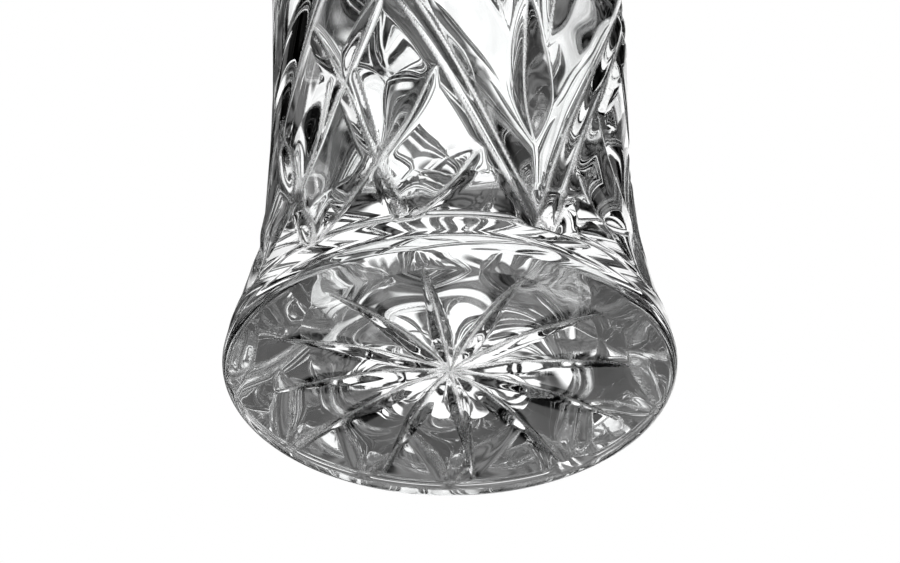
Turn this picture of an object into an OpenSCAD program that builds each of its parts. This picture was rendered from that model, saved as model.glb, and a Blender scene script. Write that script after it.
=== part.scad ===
// Cut crystal vase: a waisted, flaring body of thick clear crystal on a round foot.
// The foot is taken as a separate gather joined hot to the body; it has a plain polished
// band and a star of mitre rays ground into its hollow underside. The body is covered with
// wheel cuts: pairs of mitres that cross like ribbons, a net of finer mitres between
// them near the foot, leaves, olives, and a scalloped rim.
// Angles run round the vase from the front (-Y), positive towards +X.

/* [Shape] */
// Height from table to rim
height = 240; // [220:1:280]
// Diameter of the foot
foot_d = 90; // [86:0.5:96]
// Diameter at the narrowest place
waist_d = 75.6; // [72:0.1:80]
// Height of the narrowest place
waist_z = 60; // [54:1:70]
// Diameter at the mouth
mouth_d = 114; // [104:1:126]
// Glass left between the inside and the joint with the foot
floor_t = 4.5; // [4:0.5:12]
// Wall thickness at the floor
wall_t = 9.5; // [8:0.1:10.5]
// Wall thickness at the rim
rim_t = 6; // [5:0.1:8]

/* [Foot] */
// Height of the plain polished band
band_h = 7; // [6.5:0.1:9]
// Radius of the rounded lower edge
edge_r = 2.4; // [1.5:0.1:3]
// Height of the hollow under the foot
hollow_h = 2.2; // [1.5:0.1:2.6]
// Width of the flat ring the vase rests on
rest_w = 6; // [4:0.1:8]
// Rays in the star
rays = 12; // [8:1:16]
// Depth of a ray at its middle
ray_depth = 1.7; // [1:0.1:2]

/* [Cutting] */
// Times the pattern repeats round the vase
repeats = 3; // [3:1:3]
// Turn of the first ribbon foot from the front
turn = 24.7; // [0:0.1:60]
// Depth of the ribbon mitres where the wheel turns
ribbon_depth = 1.4; // [0.8:0.1:1.8]
// Distance between the two mitres of a ribbon
ribbon_pitch = 3.6; // [3:0.1:4]
// Depth of the net mitres
net_depth = 1.4; // [0.8:0.1:1.8]
// Depth of the leaves and olives
leaf_depth = 2.1; // [1.2:0.1:2.4]
// Scallops round the rim
scallops = 12; // [6:6:24]
// Depth of a scallop
scallop_h = 3; // [1:0.1:4]

/* [Hidden] */
$fn = 96;
foot_r = foot_d / 2;
waist_r = waist_d / 2;
mouth_r = mouth_d / 2;
sector = 360 / repeats;
half = sector / 2;
// The skin drops from the foot to the waist, then opens to the mouth.
heel_r = foot_r - 0.7;
heel_power = 2.6;
bell_power = 1.8;
hollow_r = foot_r - edge_r - rest_w;
ray_start = 0.8;
// Turn of the star against the pattern on the wall.
star_turn = -2.3;
inside_z = band_h + floor_t;
// The floor inside is a shallow bowl this deep, and the rim is rounded over this width.
well_h = 12;
rim_edge = 1.2;
// How far a wheel reaches out of the glass, runs on past a cut's ends, and laps a bend.
clear = 1;
run_out = 1.5;
overlap = 0.3;
// Half angles of the wheels' edges.
ribbon_flank = 48;
net_flanks = [44, 44];
ray_flanks = [48, 48];
// A leaf has one steep flank and one broad one, on its near or its far side.
near_leaf = [62, 44];
far_leaf = [46, 66];
olive_flanks = [56, 56];
// One ribbon, from its foot up and round to the rim: [angle from the foot, height] bends.
ribbon_path = [[-0.5, 8], [10, 28], [24, 50], [42, 73], [60, 93], [79, 117], [99, 143],
               [120, 172], [133, 197], [146, height - 16]];

// Radius of the uncut outside at height z.
function skin(z) =
    z < waist_z
        ? waist_r + (heel_r - waist_r) * pow((waist_z - z) / (waist_z - band_h), heel_power)
        : waist_r + (mouth_r - waist_r) * pow((z - waist_z) / (height - waist_z), bell_power);

// Wall thickness at height z.
function wall(z) = wall_t + (rim_t - wall_t) * (z - inside_z) / (height - inside_z);

// A point on the outside, from [angle, height].
function on_skin(p) = [skin(p[1]) * sin(p[0]), -skin(p[1]) * cos(p[0]), p[1]];

// The way straight out of the wall at an angle.
function outward(a) = [sin(a), -cos(a), 0];

// Height of the hollow under the foot at radius r, and a point in it from [angle, radius].
function hollow_z(r) = hollow_h * (1 - pow(r / hollow_r, 2));
function in_hollow(p) = [p[1] * sin(p[0]), -p[1] * cos(p[0]), hollow_z(p[1])];

function unit(v) = v / norm(v);

// The shape of one mitre wheel's edge, or of two wheels side by side, cutting at x = 0.
module mitre_edge(deep, flanks) {
    polygon([[0, 0], [deep, -deep * tan(flanks[0])], [deep, deep * tan(flanks[1])]]);
}

module ribbon_edge(deep, flank) {
    wide = ribbon_pitch / 2 + deep * tan(flank);
    polygon([
        [deep, -wide],
        [0, -ribbon_pitch / 2],
        [ribbon_pitch / 2 / tan(flank), 0],
        [0, ribbon_pitch / 2],
        [deep, wide]
    ]);
}

// A straight pass of the wheel whose edge runs from point p to point q and over past each.
// out points away from the glass, and deep is how far the wheel reaches that way.
module pass(p, q, out, deep, flanks, over, double) {
    along = unit(q - p);
    away = unit(out - (out * along) * along);
    side = cross(along, away);
    start = p - over[0] * along;
    multmatrix([
        [away[0], side[0], along[0], start[0]],
        [away[1], side[1], along[1], start[1]],
        [away[2], side[2], along[2], start[2]]
    ])
        linear_extrude(height = norm(q - p) + over[0] + over[1])
            if (double)
                ribbon_edge(deep, flanks[0]);
            else
                mitre_edge(deep, flanks);
}

// The wheel's way past points on the glass: at the surface at both ends, depth under it
// between. outs point away from the glass at each.
module wheel_path(points, outs, depth, flanks, double) {
    last = len(points) - 1;
    edge = [for (i = [0 : last]) points[i] - (i == 0 || i == last ? 0 : depth) * outs[i]];
    for (i = [1 : last])
        pass(edge[i - 1], edge[i], outs[i - 1] + outs[i], depth + clear, flanks,
             [i == 1 ? run_out : overlap, i == last ? run_out : overlap], double);
}

// A cut that deepens from both ends to its middle.
function dip(from, to) = [from, (from + to) / 2, to];

// A cut on the outside through [angle, height] points.
module cut(points, depth, flanks, double = false) {
    wheel_path([for (p = points) on_skin(p)], [for (p = points) outward(p[0])],
               depth, flanks, double);
}

// Where a pattern point lies in repeat i, on side s of the ribbon foot.
function spot(p, i, s) = [turn + i * sector + s * p[0], p[1]];

// The same cut on both sides of a ribbon foot, in every repeat.
module cut_pairs(points, depth, flanks, double = false) {
    for (i = [0 : repeats - 1])
        for (s = [-1, 1])
            cut([for (p = points) spot(p, i, s)], depth,
                s > 0 ? flanks : [flanks[1], flanks[0]], double);
}

// An upright cut, one in every repeat at this angle from the ribbon foot.
module cut_upright(angle, low, high, depth, flanks) {
    for (i = [0 : repeats - 1])
        cut([for (p = dip([angle, low], [angle, high])) spot(p, i, 1)], depth, flanks);
}

// Two mitres side by side, from each ribbon foot up to the rim, crossing the next ones twice.
module ribbons() {
    cut_pairs(ribbon_path, ribbon_depth, [ribbon_flank, ribbon_flank], true);
}

// Finer mitres between the ribbons above the band.
module net() {
    cut_pairs(dip([35.2, 8], [61, 54.5]), net_depth, net_flanks);
    cut_pairs(dip([52, 40], [74, 72]), net_depth, net_flanks);
    cut_pairs(dip([60.5, 8], [29.8, 49.5]), net_depth, net_flanks);
}

// Leaves ground against the net's mitres, leaves that spring from the band, and pairs of
// leaves on each side of an olive.
module leaves() {
    cut_pairs(dip([35.4, 9], [43.8, 26.5]), leaf_depth * 0.7, near_leaf);
    cut_pairs(dip([43.5, 25.5], [54.5, 52]), leaf_depth * 0.8, near_leaf);
    cut_pairs(dip([44.5, 26], [29.5, 50]), leaf_depth, far_leaf);
    cut_pairs(dip([35, 8.5], [16, 28.5]), leaf_depth, far_leaf);
    cut_pairs(dip([59.5, 9], [51, 22]), leaf_depth * 0.7, far_leaf);
    cut_pairs(dip([8, 64], [19, 98]), leaf_depth, olive_flanks);
    cut_pairs(dip([52, 122], [42, 158]), leaf_depth, olive_flanks);
    cut_pairs(dip([60, 196], [44, 226]), leaf_depth, olive_flanks);
}

// Upright olives in the panels, over the ribbon feet and half way between them.
module olives() {
    cut_upright(0, 35, 68, leaf_depth, olive_flanks);
    cut_upright(0, 98, 140, leaf_depth, olive_flanks);
    cut_upright(half, 112, 146, leaf_depth, olive_flanks);
    cut_upright(half, 160, 196, leaf_depth, olive_flanks);
    cut_upright(0, 190, 224, leaf_depth, olive_flanks);
}

// A wide shallow hollow ground across the rim.
module rim_scallops() {
    gap = 2 * mouth_r * sin(180 / scallops);
    r = (gap * gap / 4 + scallop_h * scallop_h) / (2 * scallop_h);
    for (i = [0 : scallops - 1])
        rotate([0, 0, turn + i * 360 / scallops])
            translate([0, -mouth_r + 3 * rim_t, height - scallop_h + r])
                rotate([90, 0, 0])
                    cylinder(r = r, h = 5 * rim_t);
}

function outside() = concat(
    [for (i = [0 : 5]) let (z = band_h + i * (waist_z - band_h) / 6) [skin(z), z]],
    [for (i = [0 : 7]) let (z = waist_z + i * (height - waist_z) / 8) [skin(z), z]]
);

// The inside comes down the wall to the bowl of the floor.
well_z = inside_z + well_h;
well_r = skin(well_z) - wall(well_z);
function inside() = concat(
    [for (i = [8 : -1 : 1])
        let (z = well_z + i * (height - well_z) / 8) [skin(z) - wall(z), z]],
    [for (i = [8 : -1 : 0]) [well_r * i / 8, inside_z + well_h * pow(i / 8, 2)]]
);

// The body before cutting, its rim rounded.
module blank() {
    rotate_extrude()
        polygon(concat(
            [[0, band_h]],
            outside(),
            [[mouth_r, height - rim_edge], [mouth_r - rim_edge, height]],
            [[mouth_r - rim_t + rim_edge, height]],
            inside()
        ));
}

module body() {
    color("azure", 0.35)
        difference() {
            blank();
            ribbons();
            net();
            leaves();
            olives();
            rim_scallops();
        }
}

// Rays of the star, from the middle out to the resting ring.
module star() {
    for (i = [0 : rays - 1]) {
        a = turn + star_turn + i * 360 / rays;
        points = [for (p = dip([a, ray_start], [a, hollow_r])) in_hollow(p)];
        wheel_path(points, [for (p = points) [0, 0, -1]], ray_depth, ray_flanks, false);
    }
}

// The foot before the star is ground, its lower edge rounded.
module foot_blank() {
    rotate_extrude()
        polygon(concat(
            [for (a = [-90 : 15 : 0])
                [foot_r - edge_r + edge_r * cos(a), edge_r + edge_r * sin(a)]],
            [[heel_r, band_h], [0, band_h], [0, hollow_z(hollow_r / 4)]],
            [for (i = [1 : 4]) let (r = hollow_r * i / 4) [r, hollow_z(r)]]
        ));
}

module foot() {
    color("azure", 0.35)
        difference() {
            foot_blank();
            star();
        }
}

body();
foot();
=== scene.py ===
import math

import bpy
import numpy as np
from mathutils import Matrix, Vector


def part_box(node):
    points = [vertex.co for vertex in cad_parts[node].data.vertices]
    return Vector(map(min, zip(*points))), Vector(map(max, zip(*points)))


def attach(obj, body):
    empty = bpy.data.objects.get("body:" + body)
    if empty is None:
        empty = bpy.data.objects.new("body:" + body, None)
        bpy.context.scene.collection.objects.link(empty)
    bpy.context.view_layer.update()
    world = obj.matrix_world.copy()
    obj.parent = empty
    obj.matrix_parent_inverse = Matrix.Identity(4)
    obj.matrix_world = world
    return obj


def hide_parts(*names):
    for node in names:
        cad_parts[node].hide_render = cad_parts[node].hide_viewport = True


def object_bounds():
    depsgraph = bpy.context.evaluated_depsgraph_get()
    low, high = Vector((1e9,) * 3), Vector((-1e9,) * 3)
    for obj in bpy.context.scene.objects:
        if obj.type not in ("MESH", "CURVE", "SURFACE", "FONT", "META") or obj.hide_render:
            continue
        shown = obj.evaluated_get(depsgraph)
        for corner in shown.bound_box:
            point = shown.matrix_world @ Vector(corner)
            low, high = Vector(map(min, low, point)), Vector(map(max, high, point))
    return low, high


# The vase is one closed mesh of clear glass. Lengths are in millimetres until the mesh is
# made, and angles are in degrees, running round the vase from the front (-Y).

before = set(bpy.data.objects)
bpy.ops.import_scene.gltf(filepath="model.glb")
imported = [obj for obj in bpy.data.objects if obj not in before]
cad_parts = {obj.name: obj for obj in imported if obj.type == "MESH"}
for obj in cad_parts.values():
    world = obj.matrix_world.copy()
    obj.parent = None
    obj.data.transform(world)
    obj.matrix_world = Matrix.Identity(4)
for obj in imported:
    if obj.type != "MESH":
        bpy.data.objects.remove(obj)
cad_low, cad_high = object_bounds()
_, foot_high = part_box("foot")

MM = 0.001
HEIGHT = round(cad_high.z / MM)
FOOT_R = foot_high.x / MM
MOUTH_R = round(cad_high.x / MM)
BAND_H = foot_high.z / MM

# The outside before it is cut: it narrows from the heel, over the band, to the waist.
WAIST_R = 0.84 * FOOT_R
WAIST_Z = HEIGHT / 4
HEEL_R = FOOT_R - 0.7
HEEL_POWER = 2.6
BELL_POWER = 1.8

# The fine seam cut round the wall just over the band.
SEAM_DEPTH = 0.45
SEAM_UP = 0.7
SEAM_W = 0.5

# Under the foot: the rounded edge, the resting ring and its crown, and the hollow.
EDGE_R = 2.4
REST_W = 6.0
CROWN = 0.18
HOLLOW_R = FOOT_R - EDGE_R - REST_W
HOLLOW_H = 2.2

# The inside: its floor is a bowl WELL_H deep, the wall is WALL_T thick there and RIM_T at
# the rim, and its surface is uneven by WAVE, which fades out over WAVE_FADE below the rim.
INSIDE_Z = BAND_H + 4.5
WELL_H = 12.0
WALL_T = 9.5
RIM_T = 6.0
RIM_ROUND = 1.5
WAVE = 0.2
WAVE_FADE = 20

# The pattern: its repeats, where its first ribbon foot is, and the scallops of the rim.
REPEATS = 3
SECTOR = 360 / REPEATS
TURN = 24.7
SCALLOPS = 12
SCALLOP_H = 3.0
SCALLOP_REACH = 24

# The star: its turn against the pattern, how far its rays run past the middle, the depths
# of its rays and of the petals between them, where along a ray it is deepest (-1 at its end
# past the middle, 1 at the resting ring), and how far a ray's edges are polished round.
RAYS = 12
STAR_TURN = -2.5
BURST = 2.5
RAY_DEPTH = 1.7
RAY_SLOPE = 0.9
PILLOW = 1.1
STAR_PEAK = -0.1
STAR_ROUND = 0.3

# What the wheels leave: how round a cut's bottom is, how far the polishing rounds an edge,
# how wide and how rough the grain along a bottom is, and how deep a cut has to be for it.
BOTTOM = 0.25
ROUND = 1.5
FROST_W = 0.5
FROST_ROUGH = 0.55
FROST_FROM = 0.2

# The mesh: columns round the vase, the spacing of rows up to FINE_TOP and above it, the
# step that normals are measured over, and how near a cut's bottom a point is moved onto it.
# Then the innermost ring of the star, the fewest columns it has, and the rows of the inside.
COLUMNS = 576
FINE = 0.42
COARSE = 0.85
FINE_TOP = 100
STEP = 0.06
SNAP = 0.55 * FINE
HUB_R = 0.45
HUB_COLUMNS = 36
INSIDE_ROWS = 110


# ---------------------------------------------------------------- the uncut shape

def skin(z):
    """Radius of the uncut outside at height z."""
    below = np.clip((WAIST_Z - z) / (WAIST_Z - BAND_H), 0, None)
    above = np.clip((z - WAIST_Z) / (HEIGHT - WAIST_Z), 0, None)
    heel = (HEEL_R - WAIST_R) * below ** HEEL_POWER
    bell = (MOUTH_R - WAIST_R) * above ** BELL_POWER
    return WAIST_R + heel + bell


def wall(z):
    """Thickness of the wall at height z."""
    return WALL_T + (RIM_T - WALL_T) * (z - INSIDE_Z) / (HEIGHT - INSIDE_Z)


def hollow(r):
    """Height of the hollow under the foot at radius r."""
    return CROWN + (HOLLOW_H - CROWN) * (1 - (r / HOLLOW_R) ** 2)


# ---------------------------------------------------------------- cutting

def smooth_max(a, b, blend):
    """The larger of a and b, with the crease between them polished round over blend."""
    near = np.clip(1 - np.abs(a - b) / blend, 0, None)
    return np.maximum(a, b) + near ** 2 * blend / 4


def turned(a, by):
    """Angle a measured from by, between -180 and 180."""
    return (a - by + 180) % 360 - 180


def mitre(across, depth, near, far):
    """Depth of a V groove at a distance across it, from the slopes of its two flanks."""
    slope = np.where(across < 0, near, far)
    return depth - slope * (np.sqrt(across ** 2 + BOTTOM ** 2) - BOTTOM)


def lens(along, peak):
    """Depth of a wheel's dip along a cut that runs from -1 to 1, deepest at peak."""
    reach = np.where(along < peak, 1 + peak, 1 - peak)
    return 1 - ((along - peak) / reach) ** 2


def wheel_cut(a, z, start, end, depth, near, far, peak):
    """One wheel cut upwards between two [angle, height] points.

    near and far are the slopes of its flanks, towards smaller and towards larger angles.
    Returns its depth, the distance across it, and which way across is, as round and up.
    """
    middle_a = (start[0] + end[0]) / 2
    middle_z = (start[1] + end[1]) / 2
    run = math.radians(end[0] - start[0]) * skin(np.array(middle_z))
    rise = end[1] - start[1]
    length = math.hypot(run, rise)
    u = np.radians(turned(a, middle_a)) * skin(z)
    v = z - middle_z
    along = (u * run + v * rise) / length
    across = (u * rise - v * run) / length
    field = mitre(across, depth * lens(2 * along / length, peak), near, far)
    return field, across, rise / length, -run / length


# A ribbon runs through these [height, angle] points: its foot, two crossings and its end,
# turning back at each crossing, because the other half of it belongs to its neighbour.
RIBBON = [(8.0, 0.0), (93.0, 60.0), (172.0, 0.0), (230.0, -40.0)]
RIBBON_BEND = [0.45, 0.76, 0.72]
# Place across the ribbon, depth, and slopes of each mitre.
RIBBON_MITRES = [(-1.75, 2.1, 0.62, 0.55), (1.75, 0.9, 0.8, 0.7)]
# How far past its points each run of a ribbon runs out.
RUN_OUT = 3


def ribbon_mitres(a, z):
    """The mitres of a ribbon, a deep one and a shallow one beside it, like wheel_cut's."""
    for (z0, a0), (z1, a1), bend in zip(RIBBON, RIBBON[1:], RIBBON_BEND):
        rise = z - z0
        span = z1 - z0
        lead = math.copysign(1, a1 - a0)
        first = bend * lead
        second = ((a1 - a0) - first * span) / span ** 2
        line = a0 + first * rise + second * rise ** 2
        lean = np.radians(first + 2 * second * rise) * skin(z)
        size = lead * np.sqrt(1 + lean ** 2)
        middle = np.radians(turned(a, line)) * skin(z) / size
        fade = np.clip(np.minimum(rise + RUN_OUT, span + RUN_OUT - rise) / RUN_OUT, -4, 1)
        for offset, depth, near, far in RIBBON_MITRES:
            across = middle - offset
            yield mitre(across, depth * fade, near, far), across, 1 / size, -lean / size


# The other cuts beside a ribbon foot: start, end, depth, near and far slope, deepest place.
NET = [
    ((35.2, 7.5), (61, 54.5), 1.3, 1.1, 1.1, 0.0),
    ((52, 40), (74, 72), 1.3, 1.0, 1.0, 0.0),
    ((60.5, 7.0), (29.8, 49.5), 1.4, 1.1, 1.1, 0.1),
]
LEAVES = [
    ((35.4, 8), (43.8, 26.5), 1.5, 0.5, 1.1, 0.0),
    ((43.5, 25.5), (54.5, 52), 1.6, 0.5, 1.1, 0.0),
    ((44.5, 26.0), (29.5, 50), 2.1, 1.0, 0.42, 0.15),
    ((35, 7.5), (16.0, 28.5), 2.1, 0.85, 0.42, 0.2),
    ((60, 7.5), (51, 22), 1.5, 1.0, 0.5, 0.1),
    ((8, 64), (19, 98), 2.1, 0.7, 0.7, 0.2),
    ((52, 122), (42, 158), 2.1, 0.7, 0.7, 0.2),
    ((60, 196), (44, 226), 2.1, 0.7, 0.7, 0.2),
]
OLIVES = [
    ((0, 35), (0, 68), 2.2, 0.72, 0.72, -0.2),
    ((0, 98), (0, 140), 2.2, 0.7, 0.7, 0.0),
    ((60, 112), (60, 146), 2.2, 0.7, 0.7, 0.0),
    ((60, 160), (60, 194), 2.2, 0.7, 0.7, 0.0),
    ((0, 190), (0, 224), 2.2, 0.7, 0.7, 0.0),
]
# How far below its start and above its end a cut is worked out.
CUT_MARGIN = 5


def all_cuts(a, z):
    """Every cut on the wall: the rows it reaches, its side, and what wheel_cut returns."""
    heights = z[:, 0]
    for side in (-1, 1):
        for repeat in (-1, 0, 1):
            local = turned(side * a, repeat * SECTOR)
            for cut in ribbon_mitres(local, z):
                yield slice(None), side, cut
            for start, end, deep, near, far, peak in NET + LEAVES + OLIVES:
                rows = (heights > start[1] - CUT_MARGIN) & (heights < end[1] + CUT_MARGIN)
                if rows.any():
                    yield rows, side, wheel_cut(local[rows], z[rows], start, end, deep, near,
                                                far, peak)


def cutting_depth(a, z):
    """Depth of the cutting on the wall, and of the seam over the band."""
    depth = SEAM_DEPTH * np.exp(-((z - BAND_H - SEAM_UP) / SEAM_W) ** 2)
    for rows, _, cut in all_cuts(a, z):
        depth[rows] = smooth_max(depth[rows], cut[0], ROUND)
    return depth


def snapped(a, z):
    """The grid, its points nearest to the bottom of a cut moved onto it."""
    deepest = np.zeros(a.shape)
    round_by = np.zeros(a.shape)
    up_by = np.zeros(a.shape)
    for rows, side, (field, across, around, up) in all_cuts(a, z):
        wins = field > deepest[rows]
        move = np.where(np.abs(across) < SNAP, -across, 0)
        deepest[rows] = np.where(wins, field, deepest[rows])
        round_by[rows] = np.where(wins, side * move * around, round_by[rows])
        up_by[rows] = np.where(wins, move * up, up_by[rows])
    return a + np.degrees(round_by / skin(z)), z + up_by


def off_ray(a):
    """Angle from the nearest ray of the star."""
    return turned(a, STAR_TURN + np.round((a - STAR_TURN) * RAYS / 360) * 360 / RAYS)


def star_depth(a, r):
    """Depth of the star under the foot: pillowed petals between narrow rays."""
    off = off_ray(a)
    dip = lens((r + BURST) / (HOLLOW_R + BURST) * 2 - 1, STAR_PEAK)
    pillow = PILLOW * np.clip(dip, 0, None) * (1 - np.abs(off) * RAYS / 180) ** 2
    ray = mitre(r * np.sin(np.radians(off)), RAY_DEPTH * dip, RAY_SLOPE, RAY_SLOPE)
    return smooth_max(pillow, ray, STAR_ROUND)


# ---------------------------------------------------------------- rings of the mesh

def place(a, r, z):
    """Points from angles, radii and heights, as rings of [x, y, z]."""
    t = np.radians(a)
    r, z = np.broadcast_arrays(r, z)
    return np.stack([r * np.sin(t), -r * np.cos(t), z + 0 * t], axis=-1)


def angles(count):
    """Even angles round the vase, as one row."""
    return (np.arange(count) * 360 / count)[None, :]


def scallop(a):
    """How far the rim is ground down at angle a."""
    off = (a + 180 / SCALLOPS) % (360 / SCALLOPS) - 180 / SCALLOPS
    return SCALLOP_H * (1 - (off * SCALLOPS / 180) ** 2)


def sink(a, z):
    """Heights near the rim, lowered into the scallops."""
    near = np.clip((z - (HEIGHT - SCALLOP_REACH)) / SCALLOP_REACH, 0, 1)
    return z - scallop(a) * near ** 2 * (3 - 2 * near)


def outside_points(a, z):
    """Points of the cut wall."""
    depth = cutting_depth(a, z)
    slope = (skin(z + 0.05) - skin(z - 0.05)) / 0.1
    size = np.sqrt(1 + slope ** 2)
    return place(a, skin(z) - depth / size, sink(a, z + depth * slope / size))


def cut_frost(a, z):
    """How much grain the wheels left on the wall: 1 along the bottoms of cuts, 0 off them."""
    deepest = np.full(a.shape, FROST_FROM)
    frost = np.zeros(a.shape)
    for rows, _, (field, across, _, _) in all_cuts(a, z):
        wins = field > deepest[rows]
        deepest[rows] = np.where(wins, field, deepest[rows])
        frost[rows] = np.where(wins, np.exp(-(across / FROST_W) ** 2), frost[rows])
    return frost


def outside_rings():
    """The cut wall, from the band up to the rounded rim, its normals and its grain."""
    fine = np.arange(BAND_H, FINE_TOP, FINE)
    coarse = np.arange(FINE_TOP, HEIGHT - RIM_ROUND, COARSE)
    z = np.concatenate([fine, coarse])[:, None]
    a, z = snapped(*np.broadcast_arrays(angles(COLUMNS), z))
    across = outside_points(a + STEP, z) - outside_points(a - STEP, z)
    up = outside_points(a, z + STEP) - outside_points(a, z - STEP)
    return list(outside_points(a, z)), list(np.cross(across, up)), list(cut_frost(a, z))


def star_points(a, r):
    """Points of the hollow under the foot."""
    return place(a, r, hollow(r) + star_depth(a, r))


def star_frost(a, r):
    """How much grain the wheel left in the star: 1 along the rays."""
    return np.exp(-(r * np.sin(np.radians(off_ray(a))) / FROST_W) ** 2)


def star_rings():
    """The hollow under the foot, from near the middle out, its normals and its grain."""
    rings = []
    normals = []
    frost = []
    for radius in np.arange(HUB_R, HOLLOW_R, FINE * 0.95):
        count = COLUMNS
        while count > HUB_COLUMNS and 2 * math.pi * radius / count < FINE * 0.55:
            count //= 2
        a = angles(count)
        r = np.full_like(a, radius)
        across = star_points(a + STEP, r) - star_points(a - STEP, r)
        out = star_points(a, r + STEP) - star_points(a, r - STEP)
        rings.append(star_points(a, r)[0])
        normals.append(np.cross(across, out)[0])
        frost.append(star_frost(a, r)[0])
    return rings, normals, frost


def plain_rings(profile, count):
    """Rings through [radius, height] points."""
    a = angles(count)
    return [place(a, np.array([[r]]), sink(a, np.array([[z]])))[0] for r, z in profile]


def edge_profile():
    """Resting ring, a little crowned, then the rounded edge and the polished band."""
    ring = [(HOLLOW_R + REST_W * (1 + f) / 2, CROWN * f ** 2) for f in (-0.8, -0.4, 0, 0.4, 0.8)]
    centre = FOOT_R - EDGE_R
    edge = [(centre + EDGE_R * math.sin(t), CROWN + EDGE_R * (1 - math.cos(t)))
            for t in np.radians(np.arange(6, 91, 7))]
    low = CROWN + EDGE_R
    band = [(FOOT_R + (HEEL_R - FOOT_R) * f, low + (BAND_H - low) * f)
            for f in (0.15, 0.35, 0.55, 0.75, 0.9)]
    return ring + edge + band


def rim_profile():
    """Over the rounded rim, then down to the inside wall."""
    centre = MOUTH_R - RIM_T / 2
    return [(centre + RIM_T / 2 * math.cos(t), HEIGHT - RIM_ROUND * (1 - math.sin(t)))
            for t in np.radians(np.arange(9, 172, 9))]


def wave(a, z):
    """Small unevenness of the inside, as the mould leaves it."""
    t = np.radians(a)
    low = np.sin(3 * t + 0.13 * z) * np.sin(0.17 * z + 1)
    return WAVE * (low + 0.6 * np.sin(7 * t - 0.21 * z + 2))


def inside_rings():
    """Down the inside and over the bowl of its floor."""
    a = angles(COLUMNS // 2)
    top = INSIDE_Z + WELL_H
    start = HEIGHT - RIM_ROUND - 1
    rings = []
    for z in np.linspace(start, top, INSIDE_ROWS):
        fade = min(1, (start - z) / WAVE_FADE)
        rings.append(place(a, skin(z) - wall(z) + fade * wave(a, z), sink(a, z + 0 * a))[0])
    well_r = skin(top) - wall(top)
    for t in np.radians(np.arange(3, 88, 3)):
        out, down = math.cos(t), math.sin(t)
        z = top - WELL_H * down ** 2
        rings.append(place(a, well_r * out + wave(a, z) * out, z + wave(a, well_r * out) * down)[0])
    return rings


def bridge(faces, lower, upper):
    """Faces between two rings of vertex numbers, one of which may have fewer than the other."""
    n, m = len(lower), len(upper)
    if n == m:
        for i in range(n):
            j = (i + 1) % n
            faces.append((lower[i], lower[j], upper[j], upper[i]))
        return
    fine, thin = (lower, upper) if n > m else (upper, lower)
    k = len(fine) // len(thin)
    for i in range(len(thin)):
        j = (i + 1) % len(thin)
        strip = [fine[(i * k + q) % len(fine)] for q in range(k + 1)]
        outline = [thin[i], *strip, thin[j]]
        if fine is upper:
            outline = outline[::-1]
        for q in range(1, len(outline) - 1):
            faces.append((outline[0], outline[q], outline[q + 1]))


def spin(vectors):
    """Vectors turned so that the first ribbon foot is where it belongs."""
    turn = math.radians(TURN)
    x = vectors[:, 0] * math.cos(turn) - vectors[:, 1] * math.sin(turn)
    y = vectors[:, 0] * math.sin(turn) + vectors[:, 1] * math.cos(turn)
    return np.stack([x, y, vectors[:, 2]], axis=-1)


def all_faces(rings):
    """Faces over the rings of vertex numbers, from the hub under the foot to the inside one."""
    faces = []
    for lower, upper in zip(rings[1:-1], rings[2:-1]):
        bridge(faces, lower, upper)
    for i in range(len(rings[1])):
        faces.append((rings[0][0], rings[1][(i + 1) % len(rings[1])], rings[1][i]))
    for i in range(len(rings[-2])):
        faces.append((rings[-1][0], rings[-2][i], rings[-2][(i + 1) % len(rings[-2])]))
    return faces


def glass_mesh():
    """The closed mesh of the whole vase, foot and body in one, as clear glass looks."""
    star, star_normals, star_grain = star_rings()
    edge = plain_rings(edge_profile(), COLUMNS)
    cut, cut_normals, cut_grain = outside_rings()
    top = plain_rings(rim_profile(), COLUMNS) + inside_rings()
    hubs = [np.array([[0, 0, z]]) for z in (HOLLOW_H, INSIDE_Z)]
    points = [hubs[0], *star, *edge, *cut, *top, hubs[1]]
    starts = np.cumsum([0] + [len(p) for p in points])
    rings = [list(range(first, last)) for first, last in zip(starts, starts[1:])]
    mesh = bpy.data.meshes.new("vase_glass")
    mesh.from_pydata((spin(np.concatenate(points)) * MM).tolist(), [], all_faces(rings))
    mesh.polygons.foreach_set("use_smooth", [True] * len(mesh.polygons))
    mesh.update()
    normals = np.zeros(len(mesh.vertices) * 3)
    mesh.vertices.foreach_get("normal", normals)
    normals = normals.reshape(-1, 3)
    frost = np.zeros(len(mesh.vertices))
    for first, exact, grain in ((1, star_normals, star_grain),
                                (1 + len(star) + len(edge), cut_normals, cut_grain)):
        flat = spin(np.concatenate(exact))
        part = slice(starts[first], starts[first] + len(flat))
        normals[part] = flat / np.linalg.norm(flat, axis=1)[:, None]
        frost[part] = np.concatenate(grain)
    mesh.normals_split_custom_set_from_vertices(normals.tolist())
    mesh.attributes.new("frost", "FLOAT", "POINT").data.foreach_set("value", frost)
    return mesh


# ---------------------------------------------------------------- materials

# Refraction of lead crystal, height of its grain, and its greatest haze as a roughness.
CRYSTAL_IOR = 1.545
GRAIN_H = 0.03
HAZE = 0.012
# The floor's radius out to where it begins to fade, and how far it fades over, in metres.
FLOOR_NEAR = 0.35
FLOOR_FADE = 1.5


def new_material(name):
    """A material with an empty node tree, its nodes and its links."""
    material = bpy.data.materials.new(name)
    material.use_nodes = True
    tree = material.node_tree
    tree.nodes.clear()
    return material, tree.nodes, tree.links


def math_node(nodes, links, operation, *inputs):
    """The output of a Math node, its inputs sockets or numbers."""
    node = nodes.new("ShaderNodeMath")
    node.operation = operation
    for socket, value in zip(node.inputs, inputs):
        if isinstance(value, (int, float)):
            socket.default_value = value
        else:
            links.new(value, socket)
    return node.outputs["Value"]


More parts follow.
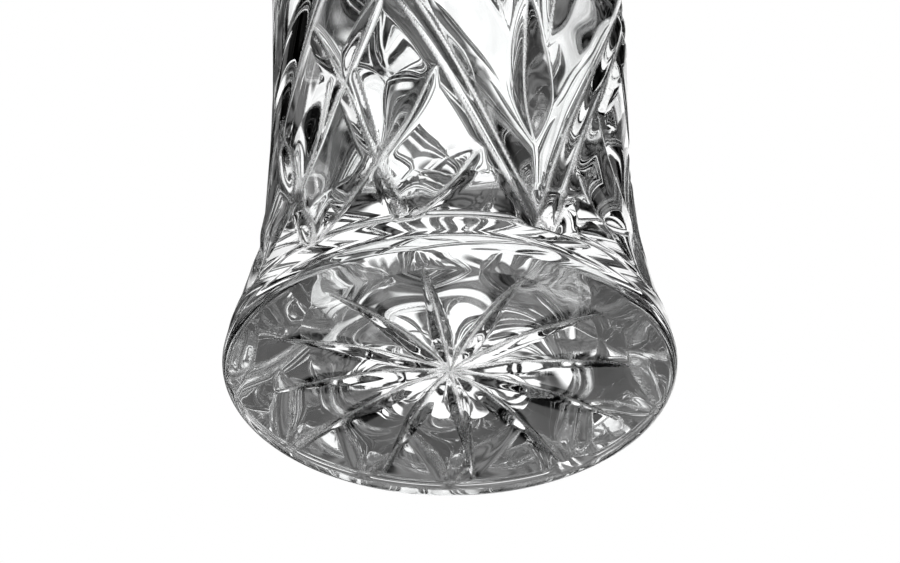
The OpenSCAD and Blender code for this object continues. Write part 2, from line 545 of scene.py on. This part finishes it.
def edge_of(nodes, links, value, half, soft):
    """1 while value is inside half, and 0 once it is soft past it."""
    fade = nodes.new("ShaderNodeMapRange")
    fade.interpolation_type = "SMOOTHSTEP"
    fade.inputs["From Min"].default_value = half + soft
    fade.inputs["From Max"].default_value = half
    links.new(math_node(nodes, links, "ABSOLUTE", value), fade.inputs["Value"])
    return fade.outputs["Result"]


def noise(nodes, links, scale, detail, low, high):
    """Noise over the surface, as a number from low to high."""
    coords = nodes.new("ShaderNodeTexCoord")
    cloud = nodes.new("ShaderNodeTexNoise")
    cloud.inputs["Scale"].default_value = scale
    cloud.inputs["Detail"].default_value = detail
    spread = nodes.new("ShaderNodeMapRange")
    spread.inputs["From Min"].default_value = 0.35
    spread.inputs["From Max"].default_value = 0.65
    spread.inputs["To Min"].default_value = low
    spread.inputs["To Max"].default_value = high
    links.new(coords.outputs["Object"], cloud.inputs["Vector"])
    links.new(cloud.outputs["Fac"], spread.inputs["Value"])
    return spread.outputs["Result"]


def crystal_material():
    """Clear lead crystal: polished, with grain left along the bottoms of its cuts."""
    material, nodes, links = new_material("crystal")
    out = nodes.new("ShaderNodeOutputMaterial")
    glass = nodes.new("ShaderNodeBsdfPrincipled")
    glass.inputs["Transmission Weight"].default_value = 1.0
    glass.inputs["IOR"].default_value = CRYSTAL_IOR
    frost = nodes.new("ShaderNodeAttribute")
    frost.attribute_name = "frost"
    grit = noise(nodes, links, 1400, 2, 0.35, 1)
    ground = math_node(nodes, links, "MULTIPLY", frost.outputs["Fac"], grit)
    haze = noise(nodes, links, 40, 2, 0.0, HAZE)
    rough = math_node(nodes, links, "MULTIPLY_ADD", ground, FROST_ROUGH, haze)
    links.new(rough, glass.inputs["Roughness"])
    tint = nodes.new("ShaderNodeMix")
    tint.data_type = "RGBA"
    tint.inputs["A"].default_value = (0.98, 0.99, 0.988, 1)
    tint.inputs["B"].default_value = (0.99, 0.992, 0.995, 1)
    links.new(noise(nodes, links, 25, 1, 0, 1), tint.inputs["Factor"])
    links.new(tint.outputs["Result"], glass.inputs["Base Color"])
    bump = nodes.new("ShaderNodeBump")
    bump.inputs["Strength"].default_value = 1.0
    bump.inputs["Distance"].default_value = GRAIN_H * MM
    links.new(ground, bump.inputs["Height"])
    links.new(bump.outputs["Normal"], glass.inputs["Normal"])
    links.new(glass.outputs["BSDF"], out.inputs["Surface"])
    return material


def floor_material():
    """Pale matt board, seen from above only, that runs out into the white far off."""
    material, nodes, links = new_material("pale_board")
    out = nodes.new("ShaderNodeOutputMaterial")
    board = nodes.new("ShaderNodeBsdfPrincipled")
    board.inputs["Base Color"].default_value = (0.82, 0.82, 0.82, 1)
    board.inputs["Roughness"].default_value = 0.7
    clear = nodes.new("ShaderNodeBsdfTransparent")
    side = nodes.new("ShaderNodeNewGeometry")
    coords = nodes.new("ShaderNodeTexCoord")
    reach = nodes.new("ShaderNodeVectorMath")
    reach.operation = "LENGTH"
    links.new(coords.outputs["Object"], reach.inputs[0])
    near = edge_of(nodes, links, reach.outputs["Value"], FLOOR_NEAR, FLOOR_FADE)
    above = math_node(nodes, links, "SUBTRACT", 1.0, side.outputs["Backfacing"])
    mix = nodes.new("ShaderNodeMixShader")
    links.new(math_node(nodes, links, "MULTIPLY", near, above), mix.inputs["Fac"])
    links.new(clear.outputs["BSDF"], mix.inputs[1])
    links.new(board.outputs["BSDF"], mix.inputs[2])
    links.new(mix.outputs["Shader"], out.inputs["Surface"])
    return material


# ---------------------------------------------------------------- the studio

def along(nodes, links, direction):
    """How far the way a ray goes points along a direction."""
    coords = nodes.new("ShaderNodeTexCoord")
    dot = nodes.new("ShaderNodeVectorMath")
    dot.operation = "DOT_PRODUCT"
    dot.inputs[1].default_value = direction
    links.new(coords.outputs["Generated"], dot.inputs[0])
    return dot.outputs["Value"]


def softbox(nodes, links, round_to, up_to, half_width, half_height, soft, power):
    """Brightness of a far softbox, its place and size in degrees round from +Y and up."""
    aim = Vector((math.sin(math.radians(round_to)) * math.cos(math.radians(up_to)),
                  math.cos(math.radians(round_to)) * math.cos(math.radians(up_to)),
                  math.sin(math.radians(up_to))))
    right = aim.cross(Vector((0, 0, 1))).normalized()
    ahead = math_node(nodes, links, "MAXIMUM", along(nodes, links, aim), 0.01)
    sides = []
    for axis, half in ((right, half_width), (right.cross(aim), half_height)):
        offset = math_node(nodes, links, "DIVIDE", along(nodes, links, axis), ahead)
        sides.append(edge_of(nodes, links, offset, math.tan(math.radians(half)), soft))
    box = math_node(nodes, links, "MULTIPLY", *sides)
    return math_node(nodes, links, "MULTIPLY", box, power)


# Softboxes: degrees round from behind the vase and up, half width and half height in
# degrees, softness of the edge, brightness. The first is the white sweep behind the vase.
SOFTBOXES = [
    (12, 20, 17, 23, 0.10, 1.4),
    (-75, 15, 8, 35, 0.10, 1.2),
    (100, 5, 10, 30, 0.10, 1.2),
    (170, 50, 18, 14, 0.2, 1.2),
    (0, -37, 30, 12, 0.08, 1.5),
    (0, 52, 14, 5, 0.08, 1.6),
]
# The rest of the room, from its darkest to its palest, and how often it goes between them.
ROOM = (0.0, 0.17)
ROOM_RIPPLE = 40


def room(nodes, links):
    """Brightness of the room outside the softboxes, soft and uneven."""
    coords = nodes.new("ShaderNodeTexCoord")
    cloud = nodes.new("ShaderNodeTexNoise")
    cloud.inputs["Scale"].default_value = 3.0
    cloud.inputs["Detail"].default_value = 1.0
    links.new(coords.outputs["Generated"], cloud.inputs["Vector"])
    ripple = math_node(nodes, links, "MULTIPLY", cloud.outputs["Fac"], ROOM_RIPPLE)
    bands = math_node(nodes, links, "SINE", ripple)
    half = (ROOM[1] - ROOM[0]) / 2
    return math_node(nodes, links, "MULTIPLY_ADD", bands, half, ROOM[0] + half)


def studio():
    """White where the camera looks past the vase, and dark with soft lights round about."""
    world = bpy.data.worlds.new("studio")
    bpy.context.scene.world = world
    world.use_nodes = True
    nodes, links = world.node_tree.nodes, world.node_tree.links
    nodes.clear()
    out = nodes.new("ShaderNodeOutputWorld")
    path = nodes.new("ShaderNodeLightPath")
    mix = nodes.new("ShaderNodeMixShader")
    seen = nodes.new("ShaderNodeBackground")
    seen.inputs["Color"].default_value = (1, 1, 1, 1)
    lit = nodes.new("ShaderNodeBackground")
    total = room(nodes, links)
    for box in SOFTBOXES:
        total = math_node(nodes, links, "ADD", softbox(nodes, links, *box), total)
    links.new(total, lit.inputs["Strength"])
    links.new(path.outputs["Is Camera Ray"], mix.inputs["Fac"])
    links.new(lit.outputs["Background"], mix.inputs[1])
    links.new(seen.outputs["Background"], mix.inputs[2])
    links.new(mix.outputs["Shader"], out.inputs["Surface"])


def floor():
    """The board that the vase stands on. The glass doesn't show it, as in the main view."""
    bpy.ops.mesh.primitive_plane_add(size=4, location=(0, 0, 0))
    plane = bpy.context.object
    plane.name = "floor"
    plane.data.materials.append(floor_material())
    plane.visible_transmission = False
    plane.visible_glossy = False


# Brightness of the overhead lamp, and how wide it is in degrees.
LAMP_POWER = 0.9
LAMP_WIDTH = 80


def lamp():
    """Soft light from overhead for the floor; the studio round it lights the glass."""
    data = bpy.data.lights.new("overhead", "SUN")
    data.energy = LAMP_POWER
    data.angle = math.radians(LAMP_WIDTH)
    light = bpy.data.objects.new("overhead", data)
    light.visible_glossy = False
    light.visible_transmission = False
    bpy.context.scene.collection.objects.link(light)


# Where the camera is, how far up it looks in degrees, and its lens and sensor.
CAMERA_AT = (0, -430.2, -292.1)
CAMERA_UP = 36.34
LENS = 105.3
SENSOR = 36


def camera():
    """Below the vase and in front of it, looking up past its foot."""
    data = bpy.data.cameras.new("camera")
    data.lens = LENS
    data.sensor_width = SENSOR
    data.clip_start = 0.01
    data.dof.use_dof = False
    cam = bpy.data.objects.new("camera", data)
    cam.location = Vector(CAMERA_AT) * MM
    cam.rotation_euler = (math.radians(90 + CAMERA_UP), 0, 0)
    bpy.context.scene.collection.objects.link(cam)
    bpy.context.scene.camera = cam


# How often light may pass through the glass before it is given up.
GLASS_BOUNCES = 24


def main():
    """The vase, its floor, the lights and the camera."""
    vase = bpy.data.objects.new("vase_glass", glass_mesh())
    bpy.context.scene.collection.objects.link(vase)
    vase.data.materials.append(crystal_material())
    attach(vase, "root")
    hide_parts("body", "foot")
    floor()
    lamp()
    studio()
    camera()
    scene = bpy.context.scene
    scene.view_settings.view_transform = "Standard"
    scene.cycles.max_bounces = GLASS_BOUNCES
    scene.cycles.transmission_bounces = GLASS_BOUNCES
    scene.cycles.transparent_max_bounces = 16


main()
